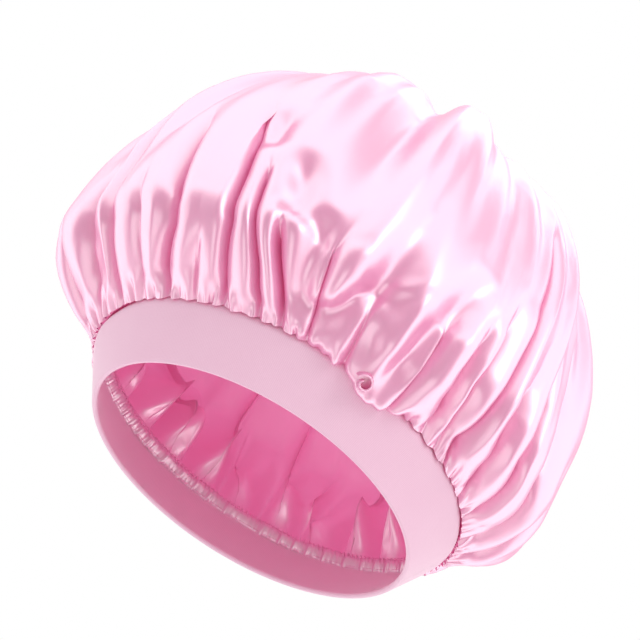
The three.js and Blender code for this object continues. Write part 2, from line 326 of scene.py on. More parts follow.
def deselect_all():
    if bpy.context.object and bpy.context.object.mode != "OBJECT":
        bpy.ops.object.mode_set(mode="OBJECT")
    bpy.ops.object.select_all(action="DESELECT")


def pick(piece):
    deselect_all()
    bpy.context.view_layer.objects.active = piece
    piece.select_set(True)


def shade_smooth(piece):
    pick(piece)
    bpy.ops.object.shade_smooth()


def smooth_step(x, low, high):
    t = np.clip((x - low) / (high - low), 0, 1)
    return t * t * (3 - 2 * t)


def run_along(points):
    """Length along a line of points, from the first one to each."""
    return np.concatenate([[0], np.cumsum(np.linalg.norm(np.diff(points, axis=0), axis=1))])


def round_z(radius, turn, height):
    return np.stack([radius * np.cos(turn), radius * np.sin(turn), height], 1)


def turn_of(points):
    return np.arctan2(points[:, 1], points[:, 0])


def off_azimuth(azimuths, middle, radius):
    """How far round from a middle azimuth each one lies, as a length. The azimuths are in degrees."""
    return np.radians((azimuths - middle + 180) % 360 - 180) * radius


def new_piece(name, points, faces):
    mesh = bpy.data.meshes.new(name)
    mesh.from_pydata(points.tolist(), [], faces)
    mesh.update()
    piece = bpy.data.objects.new(name, mesh)
    bpy.context.scene.collection.objects.link(piece)
    return piece


def apply_modifier(piece, kind, **settings):
    pick(piece)
    modifier = piece.modifiers.new(kind.title(), kind)
    for name, value in settings.items():
        setattr(modifier, name, value)
    bpy.ops.object.modifier_apply(modifier=modifier.name)


def subdivide(piece, levels=1):
    apply_modifier(piece, "SUBSURF", levels=levels, render_levels=levels)


def points_of(piece):
    points = np.empty(3 * len(piece.data.vertices))
    piece.data.vertices.foreach_get("co", points)
    return points.reshape(-1, 3)


def set_points(piece, points):
    piece.data.vertices.foreach_set("co", points.ravel())
    piece.data.update()


def move_points(piece, turn, out, up):
    """Moves each point away from Z, at its own turn, and up."""
    points = points_of(piece)
    points[:, 0] += out * np.cos(turn)
    points[:, 1] += out * np.sin(turn)
    points[:, 2] += up
    set_points(piece, points)


def corners_of(piece):
    """Which point lies at each corner of the faces."""
    corners = np.empty(len(piece.data.loops), dtype=int)
    piece.data.loops.foreach_get("vertex_index", corners)
    return corners


def set_flat_cut(piece, places):
    """Gives the piece a UV map from the place of each corner on the flat cloth."""
    piece.data.uv_layers.new(name="flat_cut").data.foreach_set("uv", places.ravel())


def ring_sheet(name, section, around):
    """A sheet turned about Z: a circle at the section's first point, extruded from point to point."""
    deselect_all()
    radius, height = section[0]
    bpy.ops.mesh.primitive_circle_add(vertices=around, radius=radius, location=(0, 0, height))
    piece = bpy.context.object
    piece.name = piece.data.name = name
    bpy.ops.object.transform_apply(location=True)
    bpy.ops.object.mode_set(mode="EDIT")
    bpy.ops.mesh.select_all(action="SELECT")
    for next_radius, next_height in section[1:]:
        rise = {"value": (0, 0, next_height - height)}
        bpy.ops.mesh.extrude_region_move(TRANSFORM_OT_translate=rise)
        grow = next_radius / radius
        bpy.ops.transform.resize(value=(grow, grow, 1))
        radius, height = next_radius, next_height
    bpy.ops.object.mode_set(mode="OBJECT")
    bpy.ops.object.shade_smooth()
    return piece


def unroll(piece, section, around):
    """A flat_cut UV map in metres: along the strip, and across it by the section's own length."""
    middle = float(np.mean([radius for radius, _ in section]))
    corners = corners_of(piece)
    column, row = corners % around, corners // around
    faces = piece.data.polygons
    starts = np.repeat([face.loop_start for face in faces], [face.loop_total for face in faces])
    crossing = (column == 0) & (column[starts] + np.roll(column, 1) > around / 2)
    across = (column + np.where(crossing, around, 0)) / around * 2 * math.pi * middle
    set_flat_cut(piece, np.stack([across, run_along(np.array(section))[row]], 1))


# The band's section, as (radius, height)

RIM_PRESSED = 0.5 * MM
ALLOWANCE_LEAN = 2.4 * MM


def band_thickness():
    size = sizes()
    return 2 * size.knit + 2 * size.layer_gap + size.elastic


def band_slope():
    size = sizes()
    sine = size.band_flare / size.band_width
    return sine, math.sqrt(1 - sine**2)


def band_point(along, inward):
    """Along the slope from the fold's centre, and inwards from the outer face."""
    sine, cosine = band_slope()
    fold = band_thickness() / 2
    foot = fold - RIM_PRESSED - fold * sine
    radius = sizes().rim_radius + along * sine - inward * cosine
    return radius, foot + along * cosine + inward * sine


def allowance_point(rise, outward):
    """Up from the seam, and outwards from the allowance's inner face."""
    size = sizes()
    foot = band_point(size.band_width, band_thickness())
    angle = math.asin(ALLOWANCE_LEAN / size.allowance)
    return (
        foot[0] - rise * math.sin(angle) + outward * math.cos(angle),
        foot[1] + rise * math.cos(angle) + outward * math.sin(angle),
    )


def fold_arc(radius, steps):
    """The half circle under the band, from the outer face to the inner one."""
    sine, _ = band_slope()
    centre = band_point(0, band_thickness() / 2)
    start = -math.asin(sine)
    angles = [start - math.pi * i / steps for i in range(steps + 1)]
    return [(centre[0] + radius * math.cos(a), centre[1] + radius * math.sin(a)) for a in angles]


# The crown's cloth

SEAM_STEP_OUT = 0.6 * MM
UNDER_TURN = (0.002, 0.022)
TOP_RADIUS, TOP_DROP = 0.100, 0.026  # the top is flatter than the shoulders' curve would take it
PROFILE_POINTS = 400


def forward_at(height):
    """How far the crown's middle has moved towards the face at a height."""
    size = sizes()
    seam = band_point(size.band_width, 0)[1]
    low = smooth_step(height, seam, size.widest_height)
    high = np.clip((height - size.widest_height) / (size.crown_height - size.widest_height), 0, 1)
    return size.crown_forward * low + size.crown_lean * high


def crown_profile():
    """Length along the cloth from the top, radius and height: a full quarter ellipse and the underside."""
    size = sizes()
    turn = np.linspace(0, math.pi / 2, PROFILE_POINTS)
    rise = size.crown_height - size.widest_height
    full = 2 / size.shoulder
    out, up = np.sin(turn) ** full, np.maximum(np.cos(turn), 0) ** full
    upper = np.stack([size.crown_radius * out, size.widest_height + rise * up], 1)
    upper[:, 1] -= TOP_DROP * np.clip(1 - upper[:, 0] / TOP_RADIUS, 0, 1) ** 2
    part = np.linspace(0, 1, PROFILE_POINTS)[1:, None]
    start = np.array([size.crown_radius, size.widest_height])
    middle = start - np.array(UNDER_TURN)
    seam = np.array(band_point(size.band_width + SEAM_STEP_OUT, -SEAM_STEP_OUT))
    lower = (1 - part) ** 2 * start + 2 * part * (1 - part) * middle + part**2 * seam
    points = np.concatenate([upper, lower])
    return run_along(points), points[:, 0], points[:, 1]


# Creases round the wearer's left side. A row gives places as (share of the cloth up from the seam,
# azimuth in degrees), then in millimetres how deep it is, how wide each flank is and how far its lip
# laps over it, plus from the side of higher azimuth and minus from the other, then the shares of the
# cloth at which it starts to fade and ends.
LEFT_CREASES = [
    ([(0, -104), (0.09, -96), (0.2, -88)], 13, 6, 4, 0.12, 0.34),
    ([(0, -93), (0.1, -87), (0.2, -81)], 8, 5, 3, 0.08, 0.2),
    ([(0, -83), (0.05, -76), (0.12, -72.5), (0.3, -73)], 12, 6, 4, 0.12, 0.28),
    ([(0, -70), (0.06, -65.5), (0.13, -61.5), (0.25, -63), (0.4, -67)], 16, 6, 7, 0.24, 0.46),
    ([(0, -59), (0.06, -55), (0.14, -52), (0.24, -55), (0.35, -58)], 5, 8, 3, 0.14, 0.26),
    ([(0, -49.5), (0.054, -47), (0.118, -42.5), (0.17, -42), (0.27, -46), (0.4, -52)], 18, 6, 7, 0.22, 0.42),
    ([(0, -40), (0.06, -38), (0.13, -35.5)], 6, 6, 3, 0.05, 0.14),
    (
        [(0, -31.5), (0.05, -30), (0.14, -28.8), (0.24, -31), (0.3, -33), (0.4, -38), (0.5, -42)],
        15, 7, 8, 0.26, 0.44,
    ),
    ([(0, -21), (0.087, -22), (0.195, -25), (0.28, -28), (0.4, -31)], 14, 6, 8, 0.18, 0.30),
    ([(0, -14.5), (0.066, -16.5), (0.11, -18), (0.17, -19.3)], 17, 6, 3, 0.12, 0.20),
    ([(0, -7), (0.08, -8), (0.16, -7.5), (0.3, -6)], 8, 6, -5, 0.12, 0.26),
    ([(0, 4), (0.06, 4.5), (0.16, 5), (0.3, 5)], 6, 7, 3, 0.08, 0.22),
    ([(0, 19), (0.06, 19.5), (0.17, 20), (0.3, 20)], 7, 7, -5, 0.10, 0.24),
    ([(0, 32), (0.07, 27.5), (0.13, 26.5), (0.2, 27)], 13, 6, -5, 0.13, 0.26),
    ([(0, 38), (0.06, 33), (0.13, 30.5), (0.3, 30.5)], 11, 5, -5, 0.18, 0.34),
    ([(0, 44), (0.04, 39), (0.08, 38), (0.13, 37), (0.35, 36), (0.56, 38)], 19, 7, -7, 0.38, 0.60),
    ([(0, 57.5), (0.054, 49), (0.12, 45), (0.2, 44)], 14, 6, -6, 0.13, 0.26),
    ([(0, 67), (0.047, 62), (0.13, 53.5), (0.26, 50), (0.4, 49.5)], 16, 6, -7, 0.24, 0.40),
    ([(0, 78.5), (0.063, 72.5), (0.145, 62.5), (0.28, 59)], 16, 6, -7, 0.26, 0.46),
    ([(0, 89), (0.05, 85.5), (0.1, 79), (0.2, 74)], 15, 6, -7, 0.15, 0.32),
]
# Broad soft hollows there: places, depth and half width in millimetres, and the shares of the cloth
# over which each starts and ends.
LEFT_HOLLOWS = [
    ([(0, -77), (0.1, -70), (0.3, -70)], 5, 9, (0.02, 0.08), (0.24, 0.32)),
    ([(0, -17), (0.12, -17.4), (0.23, -18.5), (0.3, -21)], 8, 9, (0.17, 0.21), (0.26, 0.33)),
    ([(0, -11), (0.1, -11.5), (0.17, -11), (0.23, -12)], 10, 8, (0.02, 0.06), (0.18, 0.235)),
    ([(0.05, -6), (0.085, -1.6), (0.14, 2.8), (0.2, 4.3), (0.25, 4.5)], 12, 10, (0.02, 0.07), (0.14, 0.28)),
    ([(0, 6), (0.1, 7.2), (0.16, 8.7), (0.2, 11.4)], 6, 7, (0.03, 0.08), (0.14, 0.21)),
    ([(0, 14), (0.11, 16.7), (0.17, 17.8), (0.23, 19.4), (0.29, 20.5)], 11, 9, (0.03, 0.10), (0.19, 0.31)),
    ([(0.28, -30), (0.4, -33)], 6, 8, (0.29, 0.34), (0.37, 0.43)),
    ([(0.05, 46), (0.3, 44)], 5, 9, (0.06, 0.16), (0.24, 0.36)),
]
# Creases round the wearer's right side, in the same form.
RIGHT_CREASES = [
    ([(0, 101), (0.12, 99), (0.4, 96)], 15, 6, -6, 0.20, 0.38),
    ([(0, 114), (0.12, 114), (0.4, 109)], 18, 6, 7, 0.24, 0.44),
    ([(0, 127), (0.12, 123), (0.4, 121)], 14, 5, -5, 0.14, 0.30),
    ([(0, 140), (0.12, 141), (0.4, 146)], 18, 6, 7, 0.28, 0.48),
    ([(0, 153), (0.12, 157), (0.4, 160)], 14, 5, -5, 0.16, 0.34),
    ([(0, 166), (0.12, 166), (0.4, 171)], 18, 6, -8, 0.26, 0.46),
    ([(0, 179), (0.12, 182), (0.4, 183)], 13, 5, 5, 0.14, 0.32),
    ([(0, 192), (0.12, 190), (0.4, 186)], 18, 6, 7, 0.28, 0.50),
    ([(0, 205), (0.12, 206), (0.4, 210)], 16, 5, -6, 0.20, 0.38),
    ([(0, 218), (0.12, 215), (0.4, 212)], 18, 6, 7, 0.25, 0.45),
    ([(0, 230), (0.12, 231), (0.4, 236)], 14, 6, -5, 0.15, 0.32),
    ([(0, 243), (0.12, 246), (0.4, 252)], 16, 6, 6, 0.22, 0.42),
]
SEAM_DEPTH = 2.2  # of every gather, in millimetres, where it is sewn
# Shares of the cloth over which a crease comes to its depth, and one that starts as a puff, and a lip.
RISE, PUFFED_RISE, LIP_RISE = (-0.01, 0.045), (0.05, 0.18), (0, 0.05)
# Round the right side each crease starts as a round puff inwards, and sharpens further up.
PUFF_DEPTH, PUFF_HALF, PUFF_START, PUFF_END = 8, 9, (0, 0.05), (0.12, 0.27)
# Small gathers on the left and on the right: the share at which each ends, and its depth.
SMALL_ENDS, SMALL_DEPTHS = ((0.02, 0.055), (0.04, 0.09)), ((2.5, 4.5), (3, 5))
SMALL_WIDTH, SMALL_LIP, SMALL_FADE, SMALL_ASIDE = 3, (0.5, 2), 0.3, 0.22


class Crease:
    """A crease in the crown: where it runs, how deep it is and how it laps over."""

    def __init__(self, places, depth, width, lip, fade, end):
        self.shares = [share for share, _ in places]
        self.azimuths = [azimuth for _, azimuth in places]
        self.depth, self.width, self.lip = depth * MM, width * MM, lip * MM
        self.rise, self.fade, self.end = RISE, fade, end
        self.between = None

    def azimuth(self, share):
        if self.between:
            left, right, part, turn = self.between
            first, last = left.azimuth(share), right.azimuth(share) + turn
            return first + part * (last - first)
        return float(np.interp(share, self.shares, self.azimuths))

    def state(self, share):
        """How deep it is at a share of the cloth, and how much of its lip is left there."""
        rise = smooth_step(share, *self.rise)
        left = 1 - smooth_step(share, self.fade, self.end)
        depth = SEAM_DEPTH * MM * (1 - rise) + self.depth * rise
        return depth * left, left * smooth_step(share, *LIP_RISE)


def all_creases(draw):
    """The chosen creases, and small gathers between them all."""
    main = [Crease(*row) for row in LEFT_CREASES + RIGHT_CREASES]
    for crease in main[len(LEFT_CREASES):]:
        crease.rise = PUFFED_RISE
    seam_radius = band_point(sizes().band_width, 0)[0]
    creases = []
    for i, left in enumerate(main):
        right = main[(i + 1) % len(main)]
        turn = 360 if i == len(main) - 1 else 0
        creases.append(left)
        gap = math.radians(right.azimuths[0] + turn - left.azimuths[0]) * seam_radius
        count = max(round(gap / cloth_settings().gather) - 1, 0)
        side = int(i >= len(LEFT_CREASES))
        for k in range(count):
            end = draw.uniform(*SMALL_ENDS[side])
            depth = draw.uniform(*SMALL_DEPTHS[side])
            lip = draw.choice([-1, 1]) * draw.uniform(*SMALL_LIP)
            small = Crease([(0, 0)], depth, SMALL_WIDTH, lip, SMALL_FADE * end, end)
            part = (k + 1 + draw.uniform(-SMALL_ASIDE, SMALL_ASIDE)) / (count + 1)
            small.between = (left, right, part, turn)
            creases.append(small)
    return creases


class CrownCloth:
    """The crown's satin as rings of points from the seam to the top."""

    SEED = 5
    PANEL_SAMPLES = 64
    PANEL_SHARE = 0.12  # how far up the cloth the panels between the creases are measured
    FLANK_MOST, LAP_MOST = 0.42, 1.3  # of a panel's width, and of a flank's
    LAP_END = 0.3  # of a panel's width, over which a lip's push dies out at the far side
    SWELL, SWELL_MOST = 0.5, 0.2  # of the creases' depth, and of a panel's width
    RING_STEP, LONGEST_STEP = 4 * MM, 7 * MM  # up the cloth
    NARROWEST_STEP, FEWEST = 2.6 * MM, 24  # round it, before a ring has half as many
    THIN_SHARE = 0.42  # of the cloth from the top, where rings first have fewer points
    TOP_GAP, LAST_RING = 10 * MM, 5 * MM
    # Soft folds round the cloth: how many, where one starts, how it slants and how high it is.
    WAVES, WAVE_START, WAVE_SLANT, WAVE_SIZE = range(9, 44), (0, 6.28), (-0.5, 0.5), (0.6, 1)
    WAVE_HEIGHT, WAVE_FALL = 0.06, 1.3
    WAVE_BEND, WAVE_BENDS, SLANT_SHARE = 1.5, 3, 0.25
    WAVE_LOW, WAVE_MORE = 0.30, 0.45
    WAVE_GROWS, WAVE_STARTS, WAVE_ENDS = (0.2, 0.45), (0.02, 0.2), (0.7, 1)

    def __init__(self):
        draw = np.random.default_rng(self.SEED)
        self.creases = all_creases(draw)
        self.waves = [self.wave(draw, count) for count in self.WAVES]
        self.length, self.radii, self.heights = crown_profile()
        self.total = self.length[-1]
        self.steps = self.panel_steps()
        self.rings = self.ring_list()

    def wave(self, draw, count):
        phase, slant = draw.uniform(*self.WAVE_START), draw.uniform(*self.WAVE_SLANT)
        return count, phase, slant, draw.uniform(*self.WAVE_SIZE) * self.WAVE_HEIGHT / count**self.WAVE_FALL

    def place_at(self, at):
        """Radius and height of the crown's section at a length from the top."""
        return np.interp(at, self.length, self.radii), np.interp(at, self.length, self.heights)

    def panel_steps(self):
        """How many steps of the cloth lie between each crease and the next."""
        around = cloth_settings().around
        low = [c.azimuth(0) for c in self.creases]
        high = [c.azimuth(self.PANEL_SHARE) for c in self.creases]
        width = 0.5 * np.diff(low + [low[0] + 360]) + 0.5 * np.diff(high + [high[0] + 360])
        steps = np.maximum(np.round(width / 360 * around), 3).astype(int)
        while steps.sum() != around:
            over = steps.sum() > around
            steps[int(np.argmax(steps)) if over else int(np.argmax(width / steps))] += -1 if over else 1
        return steps

    def ring_list(self):
        """Length from the top and number of points of each ring, seam first. Higher rings have fewer."""
        around = cloth_settings().around
        rings, at, count = [], self.total, around
        while at > self.TOP_GAP:
            rings.append((at, count))
            cell = 2 * math.pi * float(self.place_at(at)[0]) / count
            at -= self.RING_STEP if count == around else min(max(cell, self.RING_STEP), self.LONGEST_STEP)
            first = at < self.THIN_SHARE * self.total and count == around
            narrow = 2 * math.pi * at / count < self.NARROWEST_STEP
            if first or (count < around and narrow and count > self.FEWEST):
                count //= 2
        rings.append((max(at, self.LAST_RING), count))
        return rings

    def panel(self, part, width, left, right, states):
        """Places across the panel between two creases, and how far out of the section each one lies."""
        (left_depth, left_lip), (right_depth, right_lip) = states
        x, most = part * width, self.FLANK_MOST * width
        left_width, right_width = min(left.width, most), min(right.width, most)
        from_left, from_right = x / left_width, (width - x) / right_width
        left_wall, right_wall = np.exp(-from_left), np.exp(-from_right)
        if width < 4 * (left_width + right_width):
            left_wall = left_wall - math.exp(-width / left_width) * part
            right_wall = right_wall - math.exp(-width / right_width) * (1 - part)
        shift = np.zeros_like(x)
        if left.lip > 0:
            lap = min(left.lip, self.LAP_MOST * left_width) * left_lip
            shift -= lap * from_left * np.exp(1 - from_left) * (1 - smooth_step(part, 1 - self.LAP_END, 1))
        if right.lip < 0:
            lap = min(-right.lip, self.LAP_MOST * right_width) * right_lip
            shift += lap * from_right * np.exp(1 - from_right) * smooth_step(part, 0, self.LAP_END)
        swell = min(self.SWELL * math.sqrt(max(left_depth * right_depth, 0)), self.SWELL_MOST * width)
        return x + shift, swell * 4 * part * (1 - part) - left_depth * left_wall - right_depth * right_wall

    def folded_ring(self, share, radius):
        """Azimuths and offsets of a ring with its creases, in even steps from one crease to the next."""
        azimuths, offsets = [], []
        places = [c.azimuth(share) for c in self.creases]
        places.append(places[0] + 360)
        states = [c.state(share) for c in self.creases]
        states.append(states[0])
        part = np.linspace(0, 1, self.PANEL_SAMPLES)
        for i, left in enumerate(self.creases):
            right = self.creases[(i + 1) % len(self.creases)]
            width = math.radians(places[i + 1] - places[i]) * radius
            place, offset = self.panel(part, width, left, right, states[i : i + 2])
            run = run_along(np.stack([place, offset], 1))
            even = np.arange(self.steps[i]) / self.steps[i] * run[-1]
            azimuths.append(places[i] + np.degrees(np.interp(even, run, place) / radius))
            offsets.append(np.interp(even, run, offset))
        return np.concatenate(azimuths), np.concatenate(offsets)

    def hollow_depth(self, share, azimuths):
        depth = np.zeros_like(azimuths)
        puffs = [(row[0], PUFF_DEPTH, PUFF_HALF, PUFF_START, PUFF_END) for row in RIGHT_CREASES]
        for places, deep, half, start, end in LEFT_HOLLOWS + puffs:
            middle = np.interp(share, [p[0] for p in places], [p[1] for p in places])
            away = off_azimuth(azimuths, middle, sizes().crown_radius)
            there = smooth_step(share, *start) * (1 - smooth_step(share, *end))
            depth += deep * MM * there * np.exp(-((away / (half * MM)) ** 2))
        return depth

    def wave_height(self, share, azimuths):
        """Soft folds up and down the cloth, all round it."""
        turn = np.radians(azimuths)
        height = np.zeros_like(azimuths)
        for count, phase, slant, size in self.waves:
            bend = self.WAVE_BEND * np.sin(self.WAVE_BENDS * share + phase)
            height += size * np.sin(count * (turn + self.SLANT_SHARE * slant * share) + phase + bend)
        strength = self.WAVE_LOW + self.WAVE_MORE * smooth_step(share, *self.WAVE_GROWS)
        ends = smooth_step(share, *self.WAVE_STARTS), 1 - smooth_step(share, *self.WAVE_ENDS)
        return strength * height * ends[0] * ends[1]

    def ring(self, at, count, wave, deeper):
        """Points of the ring at a length from the top."""
        share = 1 - at / self.total
        radius, height = (float(x) for x in self.place_at(at))
        azimuths, offsets = self.folded_ring(share, max(radius, MM))
        offsets = offsets * deeper + wave * self.wave_height(share, azimuths)
        offsets = offsets - self.hollow_depth(share, azimuths)
        out, up = self.place_at([at - MM, at + MM])
        run, drop = out[1] - out[0], up[1] - up[0]
        long = math.hypot(run, drop)
        points = round_z(radius - offsets * drop / long, np.radians(azimuths), height + offsets * run / long)
        points[:, 1] -= forward_at(points[:, 2])
        return points[:: len(points) // count]

    def cloth(self, wave, deeper):
        rings = [self.ring(at, count, wave, deeper) for at, count in self.rings]
        peak = self.heights[0]
        return np.concatenate([*rings, [[0, -forward_at(peak), peak]]])

    def faces(self):
        faces, first = [], 0
        for (_, count), (_, above) in zip(self.rings, self.rings[1:]):
            upper = first + count
            for k in range(count):
                a, b = first + k, first + (k + 1) % count
                if count == above:
                    faces.append((a, b, upper + (k + 1) % above, upper + k))
                elif k % 2 == 0:
                    c = first + (k + 2) % count
                    faces.append((a, b, upper + k // 2))
                    faces.append((b, c, upper + (k // 2 + 1) % above, upper + k // 2))
            first = upper
        count = self.rings[-1][1]
        return faces + [(first + k, first + (k + 1) % count, first + count) for k in range(count)]

    def flat_places(self):
        """Where each point lies on the flat disc, from 0 to 1 across it."""
        places = []
        for at, count in self.rings:
            turn = np.arange(count) * 2 * math.pi / count
            places.append(0.5 + at / sizes().disc * np.stack([np.cos(turn), np.sin(turn)], 1))
        return np.concatenate([*places, [[0.5, 0.5]]])

    def bent_shift(self, way, reach):
        """How far out and up each point moves where the cloth takes a path from the seam in full."""
        rings = [np.full(count, self.total - at) for at, count in self.rings]
        from_seam = np.concatenate([*rings, [self.total]])
        plain = np.stack(self.place_at(self.total - np.minimum(from_seam, reach)), 1)
        seam = np.array([self.radii[-1], self.heights[-1]])
        path = np.concatenate([seam + MM * np.array(way), [self.place_at(self.total - reach)]])
        run = run_along(path)
        along = np.minimum(from_seam / reach, 1) * run[-1]
        return np.stack([np.interp(along, run, path[:, 0]), np.interp(along, run, path[:, 1])], 1) - plain


# How far the satin hangs over the band towards the front of the wearer's left side, as (azimuth in
# degrees, millimetres), and the path that it takes where it hangs in full, out and up from the seam in
# millimetres. It joins the crown's own section at OVERHANG_REACH.
OVERHANG = [
    (-13, 0), (-9, 2.5), (-4, 3.6), (-2.5, 2), (0, 4.5), (2, 6.5),
    (3.5, 3.8), (6, 5.5), (9, 8.5), (13, 10), (18, 9.5), (22, 6), (27, 0),
]
OVERHANG_PATH = [
    (0, 0), (-1.2, -3.6), (-2.6, -7.4), (-1.4, -9.8), (1.8, -10.2),
    (5.5, -7.6), (10.5, -2.6), (16.5, 2.6), (25, 7.5),
]
OVERHANG_REACH = 50 * MM
SCALLOP_DEPTH, SCALLOP_REACH, SCALLOPS = 1 * MM, 7 * MM, (171, 149, 193)
# The gathers round the right side bulge inwards over the seam: azimuth and size of each, from 0 to 1,
# the path of the fullest, as above, how far up it joins the crown's own section, and its half width.
INNER_GATHERS = [
    (101, 0.8), (114, 1.0), (127, 0.85), (140, 0.7), (153, 0.6), (166, 0.7), (179, 0.6),
    (192, 0.75), (205, 0.95), (218, 0.8), (230, 0.7), (243, 1.0), (256, 0.9),
]
INNER_PATH = [
    (0, 0), (1, 8), (-4, 15), (-13, 22), (-17, 30), (-13, 38), (-2, 46), (10, 55), (22, 64), (33, 71),
]
INNER_REACH, INNER_HALF, INNER_SQUARE = 98 * MM, 9.5 * MM, 2.8


def overhang_share(turn):
    azimuths, depths = zip(*OVERHANG)
    return np.interp(np.degrees(turn), azimuths, depths) / max(depths)


def inner_share(turn):
    share = np.zeros_like(turn)
    for azimuth, size in INNER_GATHERS:
        away = off_azimuth(np.degrees(turn), azimuth, sizes().rim_radius)
        share = np.maximum(share, size * np.exp(-(np.abs(away / INNER_HALF) ** INNER_SQUARE)))
    return share


def bend_at_seam(piece, cloth):
    """Hangs the satin over the band on the left, and bulges its gathers inwards on the right."""
    turn = turn_of(points_of(piece))
    shift = cloth.bent_shift(OVERHANG_PATH, OVERHANG_REACH) * overhang_share(turn)[:, None]
    shift += cloth.bent_shift(INNER_PATH, INNER_REACH) * inner_share(turn)[:, None]
    move_points(piece, turn, shift[:, 0], shift[:, 1])


def scallop_seam(piece, cloth):
    """Small scallops where the satin is sewn, a few millimetres apart, dying out up the cloth."""
    points, corners = points_of(piece), corners_of(piece)
    flat = np.empty(2 * len(corners))
    piece.data.uv_layers["flat_cut"].data.foreach_get("uv", flat)
    cut = np.empty((len(points), 2))
    cut[corners] = (flat.reshape(-1, 2) - 0.5) * sizes().disc
    from_seam = cloth.total - np.hypot(*cut.T)
    turn, place = turn_of(cut), turn_of(points)
    wave = sum(np.sin(count * turn + 2 * np.sin(7 * turn + count)) for count in SCALLOPS) / len(SCALLOPS)
    wave = wave * SCALLOP_DEPTH * np.exp(-((from_seam / SCALLOP_REACH) ** 2)) * (1 - overhang_share(place))
    move_points(piece, place, wave, -wave)


def let_cloth_go(piece, rest, held):
    """Lets the cloth settle from its folded start, held at the seam and puffed from inside."""
    settings = cloth_settings()
    piece.shape_key_add(name="Folded")
    key = piece.shape_key_add(name="Relaxed")
    key.data.foreach_set("co", rest.ravel())
    key.value = 0
    piece.vertex_groups.new(name="sewn").add(held, 1.0, "REPLACE")
    modifier = piece.modifiers.new("Cloth", "CLOTH")
    cloth = modifier.settings
    cloth.quality = 5
    cloth.mass = 0.02
    cloth.air_damping = 2
    cloth.tension_stiffness = cloth.compression_stiffness = 12
    cloth.shear_stiffness = 3
    cloth.bending_stiffness = settings.stiffness
    cloth.tension_damping = cloth.compression_damping = cloth.shear_damping = 5
    cloth.bending_damping = 0.5
    cloth.vertex_group_mass = "sewn"
    cloth.rest_shape_key = key
    cloth.shrink_min = -settings.spare
    cloth.use_pressure = True
    cloth.uniform_pressure_force = settings.pressure
    cloth.effector_weights.gravity = 0
    modifier.collision_settings.use_collision = False
    modifier.point_cache.frame_end = settings.frames + 1
    for step in range(1, settings.frames + 1):
        bpy.context.scene.frame_set(step)
    points = points_of(piece.evaluated_get(bpy.context.evaluated_depsgraph_get()))
    piece.modifiers.remove(modifier)
    piece.vertex_groups.clear()
    piece.shape_key_clear()
    bpy.context.scene.frame_set(1)
    set_points(piece, points)


